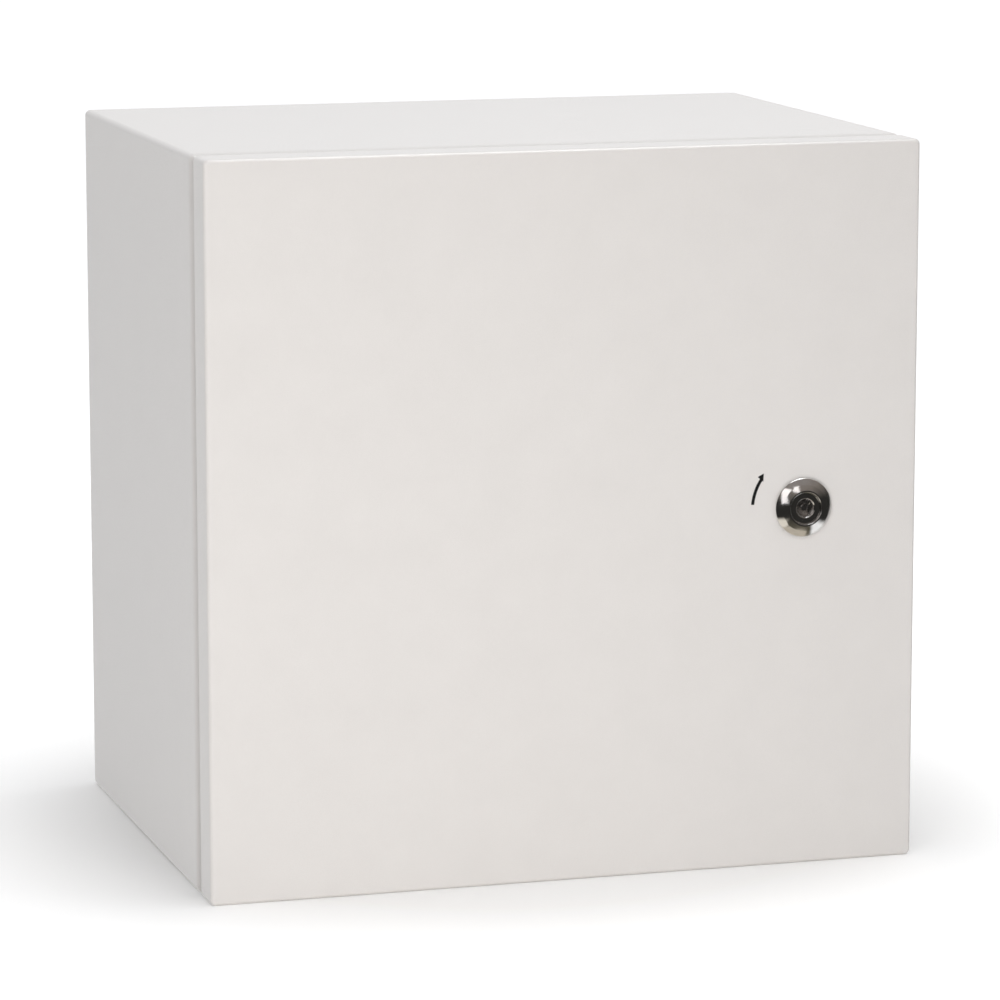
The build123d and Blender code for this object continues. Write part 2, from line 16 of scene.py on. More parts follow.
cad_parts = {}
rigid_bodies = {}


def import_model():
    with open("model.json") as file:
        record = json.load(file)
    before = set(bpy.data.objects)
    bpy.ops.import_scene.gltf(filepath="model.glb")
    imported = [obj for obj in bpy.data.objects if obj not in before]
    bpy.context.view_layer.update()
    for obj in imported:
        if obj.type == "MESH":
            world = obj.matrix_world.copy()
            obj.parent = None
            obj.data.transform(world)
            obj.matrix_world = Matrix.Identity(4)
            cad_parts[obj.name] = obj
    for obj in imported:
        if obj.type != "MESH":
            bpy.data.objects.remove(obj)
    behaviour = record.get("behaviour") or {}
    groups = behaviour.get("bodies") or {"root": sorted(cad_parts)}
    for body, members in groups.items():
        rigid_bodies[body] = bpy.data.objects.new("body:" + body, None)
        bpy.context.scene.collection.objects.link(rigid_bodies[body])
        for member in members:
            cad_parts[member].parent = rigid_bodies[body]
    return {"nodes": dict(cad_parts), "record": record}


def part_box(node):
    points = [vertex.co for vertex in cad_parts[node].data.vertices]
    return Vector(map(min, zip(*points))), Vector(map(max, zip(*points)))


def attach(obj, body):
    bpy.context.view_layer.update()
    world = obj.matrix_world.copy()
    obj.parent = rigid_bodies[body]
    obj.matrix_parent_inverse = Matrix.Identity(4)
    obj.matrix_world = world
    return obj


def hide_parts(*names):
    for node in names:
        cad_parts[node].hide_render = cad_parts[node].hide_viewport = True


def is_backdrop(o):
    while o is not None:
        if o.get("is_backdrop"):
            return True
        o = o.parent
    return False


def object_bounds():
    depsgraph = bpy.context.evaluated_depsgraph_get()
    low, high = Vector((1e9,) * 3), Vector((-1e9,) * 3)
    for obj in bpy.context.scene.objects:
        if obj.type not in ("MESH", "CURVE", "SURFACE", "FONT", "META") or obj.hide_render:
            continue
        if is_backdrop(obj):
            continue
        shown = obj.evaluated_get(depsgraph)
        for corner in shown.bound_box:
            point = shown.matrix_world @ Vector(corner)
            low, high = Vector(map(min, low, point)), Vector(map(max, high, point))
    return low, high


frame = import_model()
scene = bpy.context.scene
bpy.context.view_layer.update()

# %% [markdown]
# ## Sizes
# The outlines and the places are read off the frame, so that the dressed cabinet follows it. What a box can't
# tell, such as a fold's radius or a thread's pitch, is written here once.

# %% Sizes of the cabinet
MM = 0.001
door_low, door_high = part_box("door_panel")
body_low, body_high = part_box("body_wrap")
rim_low, rim_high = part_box("rim_frame")
width, height = door_high.x - door_low.x, door_high.z - door_low.z
middle = (door_low.z + door_high.z) / 2
door_face, gutter_face, wall_side = door_low.y, body_low.y, body_high.y
sheet, cut_edge = 1.5 * MM, 0.25 * MM
corner, door_fold, front_fold, rear_fold = 3.2 * MM, 2 * MM, 6.5 * MM, 2.75 * MM
rim_foot, rim_corner, rim_bend = 12 * MM, 8 * MM, 1.2 * MM
rim_wide, rim_tall = rim_high.x - rim_low.x - 2 * rim_foot, rim_high.z - rim_low.z - 2 * rim_foot
print("cabinet", round(width, 4), "x", round(height, 4), "x", round(wall_side - door_face, 4))
print("door opening", round(rim_wide, 4), "x", round(rim_tall, 4))

# %% Sizes of the lock and the fasteners
lock_low, lock_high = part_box("lock_housing")
lock_x, lock_z = (lock_low.x + lock_high.x) / 2, (lock_low.z + lock_high.z) / 2
lock_hole, barrel_radius, barrel_flat = 11.3 * MM, 11 * MM, 10 * MM
Thread = namedtuple("Thread", "radius pitch across thick")  # the last two are its nut's
M8 = Thread(4 * MM, 1.25 * MM, 13 * MM, 6.5 * MM)
M5 = Thread(2.5 * MM, 0.8 * MM, 8 * MM, 5 * MM)
thread_gap = 0.05 * MM
print("lock's axis at", round(lock_x, 4), round(lock_z, 4))

# %% [markdown]
# ## Procedural finishes
# A finish is built from nodes: noise or cells on Object coordinates drive colour, roughness and bump. Object
# coordinates are in metres here, so a noise scale of 1000 gives a grain of about one millimetre. The helpers
# keep each finish short, because most of what a finish needs is the same few nodes with other numbers.

# %% Node helpers
def add_node(tree, kind, links=(), **values):
    """Adds a node, sets sockets by name (spaces as underscores) and links (input, output) pairs."""
    node = tree.nodes.new(kind)
    for name, value in values.items():
        socket = name.replace("_", " ")
        if socket in node.inputs:
            node.inputs[socket].default_value = value
        else:
            setattr(node, name, value)
    for socket, source in links:
        tree.links.new(source, node.inputs[socket])
    return node


def calculate(tree, operation, *values, clamp=False):
    """A sum, a product or the like, of sockets and plain numbers."""
    made = add_node(tree, "ShaderNodeMath", operation=operation, use_clamp=clamp)
    for socket, value in zip(made.inputs, values):
        if isinstance(value, bpy.types.NodeSocket):
            tree.links.new(value, socket)
        else:
            socket.default_value = value
    return made.outputs[0]


def noise(tree, where, scale, detail=2.0, roughness=0.5):
    """Noise of about 1/scale metres."""
    made = add_node(
        tree, "ShaderNodeTexNoise", [("Vector", where)], Scale=scale, Detail=detail, Roughness=roughness
    )
    return made.outputs["Fac"]


def between(tree, factor, low, high, start=0.3, end=0.7):
    """A number that runs from low to high as the factor runs from start to end."""
    made = add_node(tree, "ShaderNodeMapRange", [("Value", factor)])
    for socket, value in (("From Min", start), ("From Max", end), ("To Min", low), ("To Max", high)):
        made.inputs[socket].default_value = value
    return made.outputs["Result"]


def ramp(tree, factor, *stops):
    """Colours along the factor: each stop is (place, colour)."""
    made = add_node(tree, "ShaderNodeValToRGB", [("Fac", factor)])
    band = made.color_ramp
    while len(band.elements) < len(stops):
        band.elements.new(0.5)
    for element, (place, colour) in zip(band.elements, stops):
        element.position, element.color = place, (*colour, 1)
    return made.outputs["Color"]


print("node helpers ready")

# %% Finish helpers
def new_finish(name, **values):
    """A material with a Principled shader and a socket that gives Object coordinates."""
    material = bpy.data.materials.new(name)
    material.use_nodes = True
    tree = material.node_tree
    shader = tree.nodes["Principled BSDF"]
    for socket, value in values.items():
        shader.inputs[socket.replace("_", " ")].default_value = value
    where = tree.nodes.new("ShaderNodeTexCoord").outputs["Object"]
    return material, tree, shader, where


def dress(tree, shader, colour, roughness, *bumps):
    """Links the colour, the roughness and bumps one over another: (socket, depth in metres, strength)."""
    tree.links.new(colour, shader.inputs["Base Color"])
    tree.links.new(roughness, shader.inputs["Roughness"])
    normal = None
    for source, depth, strength in bumps:
        links = [("Height", source)] + ([("Normal", normal)] if normal else [])
        made = add_node(tree, "ShaderNodeBump", links, Distance=depth, Strength=strength)
        normal = made.outputs["Normal"]
    tree.links.new(normal, shader.inputs["Normal"])


def srgb(*colour):
    """A colour as it is read on screen, 0 to 255, turned into the linear one that shaders use."""
    return tuple(((c / 255 + 0.055) / 1.055) ** 2.4 for c in colour)


print("finish helpers ready")

# %% [markdown]
# ## Powder coat
# The cabinet is coated with a warm light grey powder that melts into a satin skin. It's never quite flat: it
# has a soft orange peel of a millimetre or two, a finer grain, and a faint unevenness of gloss. One noise for
# each of these is enough, because the real differences are small and must not read as dirt.

# %% Powder coat
def powder_coat():
    material, tree, shader, where = new_finish("powder_coat", IOR=1.5, Metallic=0.0)
    peel = noise(tree, where, scale=520, detail=1.5)
    grain = noise(tree, where, scale=2600)
    cloud = noise(tree, where, scale=35, detail=4.0, roughness=0.6)
    colour = ramp(tree, cloud, (0.25, srgb(220, 216, 212)), (0.75, srgb(223, 219, 215)))
    satin = between(tree, grain, low=0.25, high=0.32)
    dress(tree, shader, colour, satin, (peel, 0.00004, 0.55), (grain, 0.00001, 0.5))
    return material


coat = powder_coat()
print("finish", coat.name)

# %% [markdown]
# ## Galvanised sheet
# Zinc that sets on hot steel forms flat crystals, the spangle, a few millimetres to a centimetre wide, and
# each throws back a slightly different grey. Voronoi cells have that shape, so their random colour drives the
# brightness and the roughness, and a fine noise dulls them.

# %% Galvanised sheet
def galvanised_sheet():
    material, tree, shader, where = new_finish("galvanised_sheet", Metallic=0.55, IOR=1.5)
    warp = add_node(tree, "ShaderNodeTexNoise", [("Vector", where)], Scale=60.0, Detail=2.0)
    push = add_node(
        tree, "ShaderNodeVectorMath", [(0, warp.outputs["Color"])], operation="SCALE", Scale=0.006
    )
    moved = add_node(tree, "ShaderNodeVectorMath", [(0, where), (1, push.outputs["Vector"])], operation="ADD")
    cells = add_node(tree, "ShaderNodeTexVoronoi", [("Vector", moved.outputs["Vector"])], Scale=110.0)
    shade = add_node(tree, "ShaderNodeSeparateColor", [("Color", cells.outputs["Color"])]).outputs["Red"]
    fine = noise(tree, where, scale=900, detail=3.0)
    colour = ramp(
        tree, shade, (0.0, (0.50, 0.52, 0.54)), (0.5, (0.60, 0.61, 0.62)), (1.0, (0.70, 0.71, 0.71))
    )
    roughness = between(tree, shade, low=0.30, high=0.46, start=0.0, end=1.0)
    dress(tree, shader, colour, roughness, (shade, 0.00002, 0.4), (fine, 0.00001, 0.4))
    return material


galvanised = galvanised_sheet()
print("finish", galvanised.name)

# %% [markdown]
# ## Zinc plate
# Studs, nuts and hinge parts are plated: brighter and smoother than hot-dipped sheet, with a faint blue and
# yellow bloom from the sealing bath and fine rolling marks. The bloom is a slow noise through three colours.

# %% Zinc plate
def zinc_plate():
    material, tree, shader, where = new_finish("zinc_plate", Metallic=0.75, IOR=1.5)
    bloom = noise(tree, where, scale=120)
    marks = noise(tree, where, scale=1400, detail=3.0)
    colour = ramp(
        tree, bloom, (0.3, (0.56, 0.60, 0.66)), (0.5, (0.68, 0.69, 0.70)), (0.7, (0.72, 0.69, 0.62))
    )
    dress(tree, shader, colour, between(tree, marks, low=0.22, high=0.36), (marks, 0.00001, 0.35))
    return material


plated = zinc_plate()
print("finish", plated.name)

# %% [markdown]
# ## Chrome
# The lock is die-cast, turned and chromed. Chrome is almost a mirror, so its look is mostly what it mirrors.
# The tool left fine rings around the axis: a sine of the distance from the lock's axis gives them as a very
# shallow bump, and a noise breaks the gloss a little.

# %% Chrome
ring_pitch = 0.16 * MM


def turned_chrome():
    material, tree, shader, where = new_finish("turned_chrome", Metallic=1.0, IOR=2.0)
    centred = add_node(
        tree, "ShaderNodeMapping", [("Vector", where)], Location=(-lock_x, 0, -lock_z), Scale=(1, 0, 1)
    )
    radius = add_node(tree, "ShaderNodeVectorMath", [(0, centred.outputs["Vector"])], operation="LENGTH")
    turns = calculate(tree, "MULTIPLY", radius.outputs["Value"], 2 * math.pi / ring_pitch)
    rings = calculate(tree, "SINE", turns)
    smear = noise(tree, where, scale=300, detail=3.0)
    colour = ramp(tree, smear, (0.3, (0.80, 0.79, 0.78)), (0.7, (0.86, 0.85, 0.84)))
    roughness = between(tree, smear, low=0.08, high=0.14)
    dress(tree, shader, colour, roughness, (rings, 0.0000006, 0.5), (smear, 0.00001, 0.15))
    return material


chrome = turned_chrome()
print("finish", chrome.name)

# %% [markdown]
# ## Foam, rubber and print
# The door's seal is foamed in place: a dark skin with soft dimples. The other seals are plain moulded rubber.
# The turn arrow by the lock is a matt black print. All three are the same recipe with other numbers.

# %% Foam, rubber and print
def soft_black(name, low, high, dimple, depth, rough):
    """A black between two near ones, with dimples of about 1/dimple metres and of that depth."""
    material, tree, shader, where = new_finish(name, Metallic=0.0, IOR=1.45)
    cells = noise(tree, where, dimple, detail=3.0, roughness=0.6)
    colour = ramp(tree, cells, (0.3, low), (0.7, high))
    dress(tree, shader, colour, between(tree, cells, rough, rough + 0.12), (cells, depth, 0.6))
    return material


foam = soft_black("foamed_skin", (0.012, 0.012, 0.013), (0.030, 0.030, 0.032), 380, 0.00025, 0.68)
rubber = soft_black("moulded_rubber", (0.010, 0.010, 0.010), (0.020, 0.020, 0.020), 1500, 0.00003, 0.5)
print_black = soft_black("black_print", (0.006, 0.006, 0.006), (0.012, 0.012, 0.012), 2500, 0.00001, 0.45)
print("finishes", foam.name, rubber.name, print_black.name)

# %% [markdown]
# ## From mesh to piece
# Every new piece ends the same way: doubles are merged, faces are turned outwards, edges that a real part
# keeps crisp are marked sharp, and the object is handed to the body it moves with. Sheet gets its thickness
# from a modifier, and a weighted normal then keeps big flat faces flat right up to their folds, which is what
# makes a folded edge read as metal.

# %% Finish a piece
def outwards(mesh, centre):
    """Turns all faces to look away from a point well inside the piece."""
    bmesh.ops.recalc_face_normals(mesh, faces=mesh.faces)
    away = sum((f.calc_center_median() - centre).dot(f.normal) * f.calc_area() for f in mesh.faces)
    if away < 0:
        bmesh.ops.reverse_faces(mesh, faces=mesh.faces)


def make_piece(mesh, name, finish, body, stands_for=(), crisp=40, centre=None):
    """Makes an object of the mesh. Edges that turn by more than crisp degrees stay sharp."""
    bmesh.ops.remove_doubles(mesh, verts=mesh.verts, dist=0.000002)
    if centre is None:
        bmesh.ops.recalc_face_normals(mesh, faces=mesh.faces)
    else:
        outwards(mesh, Vector(centre))
    for edge in mesh.edges:
        edge.smooth = len(edge.link_faces) == 2 and edge.calc_face_angle(0) < math.radians(crisp)
    for face in mesh.faces:
        face.smooth = True
    data = bpy.data.meshes.new(name)
    mesh.to_mesh(data)
    mesh.free()
    data.materials.append(finish)
    piece = bpy.data.objects.new(name, data)
    scene.collection.objects.link(piece)
    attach(piece, body)
    if stands_for:
        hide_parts(*stands_for)
    return piece


def sheet_metal(piece):
    """Gives a skin its thickness, inwards, and breaks its cut edges."""
    wall = piece.modifiers.new("sheet", "SOLIDIFY")
    wall.thickness, wall.offset = sheet, -1
    wall.use_even_offset = wall.use_quality_normals = True
    rounding = piece.modifiers.new("cut edges", "BEVEL")
    rounding.width, rounding.segments, rounding.angle_limit = cut_edge, 2, math.radians(55)
    weights = piece.modifiers.new("flat faces", "WEIGHTED_NORMAL")
    weights.keep_sharp = True


print("piece helpers ready")

# %% [markdown]
# ## Folded skins
# The door and the body are both flat blanks with folded edges and welded corners. Each starts as a square
# whose corners are bevelled to the outline's radius. The outline is extruded to make the sides, and its edges
# are bevelled again to make the fold. A hole is cut by taking out the flat face and filling again between its
# border and the hole's outline.

# %% Helpers for folded skins
FRONT = Matrix.Rotation(math.radians(90), 4, "X")  # turns what faces up to face out of the door
REAR = Matrix.Rotation(math.radians(-90), 4, "X")
LEVEL = Matrix.Identity(4)


def outline(mesh, centre, wide, tall, radius, turn=FRONT, filled=True):
    """A rectangle with round corners, seen from the front unless turned otherwise."""
    place = Matrix.Translation(centre) @ turn @ Matrix.Diagonal((wide, tall, 1, 1))
    corners = bmesh.ops.create_grid(mesh, x_segments=1, y_segments=1, size=0.5, matrix=place)["verts"]
    face = corners[0].link_faces[0]
    if radius:
        rounded = bmesh.ops.bevel(
            mesh, geom=corners, offset=radius, affect="VERTICES", segments=8, profile=0.5, material=-1
        )
        edges = {e for v in rounded["verts"] for e in v.link_edges}
        face = max((f for e in edges for f in e.link_faces), key=lambda f: f.calc_area())
    edges = list(face.edges)
    if not filled:
        bmesh.ops.delete(mesh, geom=[face], context="FACES_ONLY")
    return edges


def circle(mesh, centre, radius, turn=FRONT, steps=48):
    """A circle as bare edges."""
    place = Matrix.Translation(centre) @ turn
    made = bmesh.ops.create_circle(mesh, segments=steps, radius=radius, cap_ends=False, matrix=place)
    return list({e for v in made["verts"] for e in v.link_edges})


def pull(mesh, edges, by):
    """Extrudes a border and moves the new edge: gives back that edge."""
    made = bmesh.ops.extrude_edge_only(mesh, edges=edges)["geom"]
    bmesh.ops.translate(mesh, verts=[g for g in made if isinstance(g, bmesh.types.BMVert)], vec=by)
    return [g for g in made if isinstance(g, bmesh.types.BMEdge)]


def fold(mesh, edges, radius, steps):
    """Rounds the edges that a sheet is folded over."""
    bmesh.ops.bevel(
        mesh, geom=edges, offset=radius, affect="EDGES", segments=steps, profile=0.5, material=-1,
        offset_type="OFFSET", clamp_overlap=True,
    )


def flat_at(mesh, axis, place):
    """The largest face that lies at that place along an axis."""
    level = (f for f in mesh.faces if abs(f.calc_center_median()[axis] - place) < 0.05 * MM)
    return max(level, key=lambda f: f.calc_area())


def open_flat(mesh, axis, place, hole):
    """Cuts a hole, given as its outline's edges, into the flat face at that place along an axis."""
    face = flat_at(mesh, axis, place)
    border = list(face.edges)
    bmesh.ops.delete(mesh, geom=[face], context="FACES_ONLY")
    bmesh.ops.triangle_fill(mesh, use_beauty=True, use_dissolve=False, edges=border + hole)


print("skin helpers ready")

# %% [markdown]
# ## Door
# The door is a shallow pan: its face, then a fold, then an edge that runs back over the gutter. Its light
# edges are the clearest sign in the photo that it's sheet and not a block, so the fold is modelled in full.
# The lock's hole goes right through the sheet, because the lock's barrel stands in it.

# %% Door
AXIS_Y, AXIS_Z = 1, 2
door_depth = door_high.y - door_face
door = bmesh.new()
front_edges = outline(door, (0, door_face, middle), width, height, corner)
pull(door, front_edges, (0, door_depth, 0))
fold(door, front_edges, door_fold, 7)
open_flat(door, AXIS_Y, door_face, circle(door, (lock_x, door_face, lock_z), lock_hole))
door_skin = make_piece(
    door, "door_skin", coat, "door", ["door_panel"],
    centre=(0, door_face + door_depth, middle),
)
sheet_metal(door_skin)
print("door skin", len(door_skin.data.vertices), "points")

# %% [markdown]
# ## Body
# The body is one strip folded into roof, floor and sides. At the front it turns in over a wide fold to make
# the gutter, at the rear over a tight one to make a flange. The wide fold is larger than the corners' radius,
# so it's laid out ring by ring, and the corners tighten as they turn in. Each end has an opening, and the
# floor has the cable cut-out.

# %% Body
body_depth = wall_side - gutter_face
tightest_corner = 0.4 * MM
flange_open = 370 * MM
cut_out_wide, cut_out_deep, cut_out_corner = 200 * MM, 100 * MM, 6 * MM
cut_out_back = 16.7 * MM  # of the cabinet's middle
fold_steps = 8
body = bmesh.new()
rings = []
for step in range(fold_steps + 1):
    turned = math.pi / 2 * step / fold_steps
    inset = front_fold * (1 - math.cos(turned))
    place = (0, gutter_face + front_fold * (1 - math.sin(turned)), middle)
    round_off = max(corner - inset, tightest_corner)
    rings.append(outline(body, place, width - 2 * inset, height - 2 * inset, round_off, filled=False))
for near, far in zip(rings, rings[1:]):
    bmesh.ops.bridge_loops(body, edges=near + far)
rear_edges = pull(body, rings[0], (0, body_depth - front_fold, 0))
bmesh.ops.contextual_create(body, geom=rear_edges)
body.normal_update()
fold(body, list(flat_at(body, AXIS_Y, wall_side).edges), rear_fold, 5)
body.normal_update()
print("body folded in", len(rings), "rings at the front")

# %% Body's openings
gutter_hole = outline(body, (0, gutter_face, middle), rim_wide, rim_tall, rim_corner, filled=False)
bmesh.ops.triangle_fill(body, use_beauty=True, use_dissolve=False, edges=rings[-1] + gutter_hole)
flange_hole = outline(body, (0, wall_side, middle), flange_open, flange_open, 0, filled=False)
open_flat(body, AXIS_Y, wall_side, flange_hole)
cut_out = (0, cut_out_back, 0)
cable_hole = outline(body, cut_out, cut_out_wide, cut_out_deep, cut_out_corner, LEVEL, filled=False)
open_flat(body, AXIS_Z, 0.0, cable_hole)
body_skin = make_piece(
    body, "body_skin", coat, "enclosure", ["body_wrap"], centre=(0, 0, middle)
)
sheet_metal(body_skin)
print("body skin", len(body_skin.data.vertices), "points")

# %% [markdown]
# ## Rim
# The rim is an angle welded behind the gutter: its wall stands in the door opening and its edge presses into
# the seal. Its outline is pulled back to make the wall and then scaled out to make the foot. The sheet's
# thickness grows away from the side that the normals look to, so they are checked on one wall.

# %% Rim
rim = bmesh.new()
foot_face = rim_high.y - sheet
tip = outline(rim, (0, rim_low.y, middle), rim_wide, rim_tall, rim_corner, filled=False)
bend = pull(rim, tip, (0, foot_face - rim_low.y, 0))
foot = pull(rim, bend, (0, 0, 0))
grown = (rim_wide + 2 * rim_foot) / rim_wide
bmesh.ops.scale(
    rim, verts=list({v for e in foot for v in e.verts}), vec=(grown, 1, grown),
    space=Matrix.Translation((0, 0, -middle)),
)
fold(rim, bend, rim_bend, 4)
rim_piece = make_piece(rim, "rim", coat, "enclosure", ["rim_frame"])
right_wall = next(f for f in rim_piece.data.polygons if abs(f.normal.x) > 0.99 and f.center.x > 0)
if right_wall.normal.x < 0:
    rim_piece.data.flip_normals()
sheet_metal(rim_piece)
print("rim", len(rim_piece.data.vertices), "points")

# %% [markdown]
# ## Door seal
# The seal is poured as a liquid that foams into a soft, crowned bead with no joint. Its outline is inset a
# little at a time, and each new ring is lifted along a curve, so the crown follows the round corners.

# %% Door seal
seal_low, seal_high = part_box("door_seal")
seal_wide, seal_tall = seal_high.x - seal_low.x, seal_high.z - seal_low.z
seal_corner, bead_width, bead_height = 14 * MM, 12 * MM, seal_high.y - seal_low.y
bead_steps = 14


def crown(step):
    """Height of the bead's skin, this many steps in from its outline."""
    return bead_height * (1 - abs(2 * step / bead_steps - 1) ** 2.6) ** 0.5


bead = bmesh.new()
outline(bead, (0, seal_low.y, middle), seal_wide, seal_tall, seal_corner)
inner = flat_at(bead, AXIS_Y, seal_low.y)
for step in range(bead_steps):
    bmesh.ops.inset_region(
        bead, faces=[inner], thickness=bead_width / bead_steps, use_even_offset=True, use_boundary=True
    )
    bmesh.ops.translate(bead, verts=list(inner.verts), vec=(0, crown(step + 1) - crown(step), 0))
bmesh.ops.delete(bead, geom=[inner], context="FACES_ONLY")
seal_bead = make_piece(bead, "door_seal_bead", foam, "door", ["door_seal"], crisp=80)
top = max(seal_bead.data.polygons, key=lambda f: f.center.y)
if top.normal.y < 0:
    seal_bead.data.flip_normals()
print("seal bead", len(seal_bead.data.vertices), "points")

# %% [markdown]
# ## Turned lock
# The lock's front is turned: a flange, two cones and a lip round a sunk core. A profile, drawn as a bare
# line and bevelled at its corners, is spun round the lock's axis, just as the lathe makes it.

# %% Helper for turned pieces
def turn_profile(points, roundings=(), steps=96):
    """Spins a line of (radius, distance out of the door) points round the lock's axis, in millimetres.
    Each rounding is (number of the point, radius)."""
    mesh = bmesh.new()
    verts = [mesh.verts.new((lock_x + r * MM, door_face - out * MM, lock_z)) for r, out in points]
    for pair in zip(verts, verts[1:]):
        mesh.edges.new(pair)
    for index, radius in roundings:
        bmesh.ops.bevel(
            mesh, geom=[verts[index]], offset=radius * MM, affect="VERTICES", segments=3, profile=0.5,
            material=-1,
        )
    bmesh.ops.spin(
        mesh, geom=mesh.verts[:] + mesh.edges[:], cent=(lock_x, 0, lock_z), axis=(0, 1, 0),
        angle=2 * math.pi, steps=steps, use_merge=True, dvec=(0, 0, 0),
    )
    bmesh.ops.remove_doubles(mesh, verts=mesh.verts, dist=0.000002)
    return mesh


# %% Lock flange
flange = turn_profile(
    [
        (8.9, -7.0), (8.9, 5.15), (9.15, 5.4), (9.9, 5.4), (12.9, 4.0),
        (16.4, 1.7), (16.4, 0.4), (11.0, 0.4), (11.0, -1.5),
    ],
    [(2, 0.12), (3, 0.12), (4, 0.25), (5, 0.6), (6, 0.1)],
    steps=160,
)
lock_flange = make_piece(flange, "lock_flange", chrome, "door", ["lock_housing"], crisp=50)
print("lock flange", len(lock_flange.data.vertices), "points")

# %% [markdown]
# The barrel behind the door carries a fine thread for its nut and has two flats, which keep it from turning
# in the door. A zigzag profile gives the thread's ridges, and two planes slice the flats.

# %% Lock barrel
ridge_top, ridge_foot = barrel_radius / MM, 10.45
thread_start, barrel_pitch = -1.5, 1.0
barrel_end = (door_face - lock_high.y) / MM
ridges = [(8.9, -6.9), (6.05, -6.9), (6.05, barrel_end), (10.3, barrel_end)]
place = barrel_end + 0.6
while place < thread_start - 0.1:
    ridges += [(ridge_foot, place), (ridge_top, place + 0.45), (ridge_top, place + 0.55)]
    place += barrel_pitch
ridges += [(ridge_top, thread_start)]
barrel = turn_profile(ridges, steps=64)
for side in (-1, 1):
    flat_x = lock_x + side * barrel_flat
    bmesh.ops.bisect_plane(
        barrel, geom=barrel.verts[:] + barrel.edges[:] + barrel.faces[:], plane_co=(flat_x, 0, 0),
        plane_no=(side, 0, 0), clear_outer=True,
    )
    bare = [e for e in barrel.edges if e.is_boundary and all(abs(v.co.x - flat_x) < 1e-6 for v in e.verts)]
    bmesh.ops.contextual_create(barrel, geom=bare)
lock_barrel = make_piece(barrel, "lock_barrel", plated, "door", crisp=30)
print("lock barrel", len(lock_barrel.data.vertices), "points")

# %% [markdown]
# The core turns with the key, so it's a piece of its own and rides on the lock. It's spun the same way and
# sinks to a socket with a pin. Across the socket's floor lies a bit, which only the right key fits: a small
# block, turned a little, with its edges broken.

# %% Lock core
head_out, floor_out, skirt_out = 4.2, -4.8, -5.8
cam_face = (door_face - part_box("lock_cam")[0].y) / MM
core = turn_profile(
    [
        (0.0, 1.9), (1.5, 1.7), (1.8, 1.3), (1.8, floor_out), (5.0, floor_out), (5.0, head_out - 0.5),
        (5.5, head_out), (8.3, head_out), (8.6, head_out - 0.3), (8.6, skirt_out), (6.0, skirt_out),
        (6.0, cam_face), (0.0, cam_face),
    ],
    [(5, 0.1), (6, 0.08)],
    steps=128,
)
bit_turn = Matrix.Rotation(math.radians(-24), 4, "Y")
bit_size = Matrix.Diagonal((10.2 * MM, 3.2 * MM, 1.7 * MM, 1))
bit_place = Matrix.Translation((lock_x, door_face + 3.3 * MM, lock_z)) @ bit_turn @ bit_size
bit = bmesh.ops.create_cube(core, size=1, matrix=bit_place)["verts"]
fold(core, list({e for v in bit for e in v.link_edges}), cut_edge, 2)
lock_core = make_piece(core, "lock_core", chrome, "lock", ["lock_spindle"], crisp=35)
print("lock core", len(lock_core.data.vertices), "points")

# %% [markdown]
# ## Threads and nuts
# A thread is one ridge carried round and up: the spin operator moves each step a little along the axis. A nut
# is a hexagon whose twelve corners are sliced off, as the chamfering tool leaves them. Both are made along Z
# at the origin, and copies are then turned and put in their places.

# %% Helpers for fasteners
def threaded_rod(radius, length, pitch, steps=20):
    """A rod along Z from 0 to its length, with a bare tip."""
    rod = bmesh.new()
    depth = 0.6 * pitch
    root, bare_tip = radius - depth, depth
    turns = int((length - bare_tip) / pitch) - 1
    ridge = [(root, 0.0), (radius, 0.42 * pitch), (radius, 0.58 * pitch), (root, pitch)]
    verts = [rod.verts.new((r, 0, z)) for r, z in ridge]
    edges = [rod.edges.new(pair) for pair in zip(verts, verts[1:])]
    bmesh.ops.spin(
        rod, geom=verts + edges, cent=(0, 0, 0), axis=(0, 0, 1), angle=2 * math.pi * turns,
        steps=steps * turns, dvec=(0, 0, pitch / steps),
    )
    core_radius = root + 0.05 * pitch
    bmesh.ops.create_cone(
        rod, cap_ends=True, segments=2 * steps, radius1=core_radius, radius2=core_radius, depth=length,
        matrix=Matrix.Translation((0, 0, length / 2)),
    )
    return rod


def hexagon(across, thick):
    """A hexagon along Z from 0 to its thickness, with its corners chamfered."""
    block = bmesh.new()
    point = across / math.sqrt(3)
    kept, lean, rise = 0.985, 0.5, 0.866  # the flat's share that stays, and the way that the cut looks
    bmesh.ops.create_cone(
        block, cap_ends=True, segments=6, radius1=point, radius2=point, depth=thick,
        matrix=Matrix.Translation((0, 0, thick / 2)),
    )
    for way in [Vector((v.co.x, v.co.y, 0)).normalized() for v in block.verts if v.co.z > thick / 2]:
        for end, up in ((thick, 1), (0, -1)):
            cut = bmesh.ops.bisect_plane(
                block, geom=block.verts[:] + block.edges[:] + block.faces[:],
                plane_co=way * across / 2 * kept + Vector((0, 0, end)),
                plane_no=way * lean + Vector((0, 0, rise * up)), clear_outer=True,
            )["geom_cut"]
            bmesh.ops.contextual_create(block, geom=[g for g in cut if isinstance(g, bmesh.types.BMEdge)])
    return block


def bored(block, thick, radius, steps=28):
    """Opens a hole along Z through a block."""
    block.normal_update()
    loops = []
    for end in (0, thick):
        loop = circle(block, (0, 0, end), radius, LEVEL, steps)
        open_flat(block, AXIS_Z, end, loop)
        loops += loop
    bmesh.ops.bridge_loops(block, edges=loops)
    return block


def spread(part, places, turn):
    """One mesh that holds a turned copy of the part at each place."""
    whole, passing = bmesh.new(), bpy.data.meshes.new("passing")
    for at in places:
        copy = part.copy()
        copy.transform(Matrix.Translation(at) @ turn)
        copy.to_mesh(passing)
        copy.free()
        whole.from_mesh(passing)
    bpy.data.meshes.remove(passing)
    part.free()
    return whole


print("fastener helpers ready")

